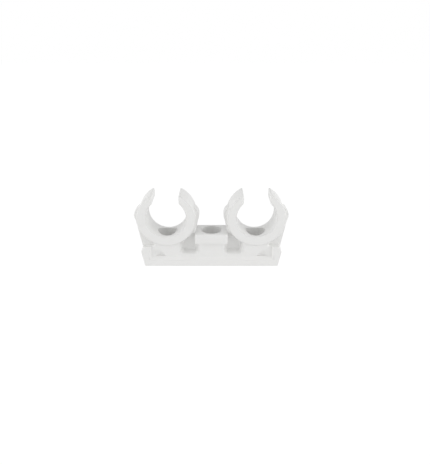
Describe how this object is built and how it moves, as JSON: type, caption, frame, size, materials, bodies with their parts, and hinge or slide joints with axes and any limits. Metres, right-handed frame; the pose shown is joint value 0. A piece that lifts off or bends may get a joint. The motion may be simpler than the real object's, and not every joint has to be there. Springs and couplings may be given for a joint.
{
  "type": "twin pipe clip",
  "caption": "White moulded clip for two parallel plastic pipes: open snap-in rings on a flat bar, a screw cap between them and screw holes through the saddles and the cap.",
  "frame": {"origin": "middle of the flat wall face, halfway between the two pipes", "axes": "+X along the bar from pipe to pipe, +Y along the pipes, +Z away from the wall"},
  "size_m": [0.0778, 0.014, 0.0378],
  "materials": {
    "white_plastic": "satin white moulded polypropylene"
  },
  "bodies": {
    "root": {"twin_pipe_clip": "white_plastic"}
  },
  "joints": []
}
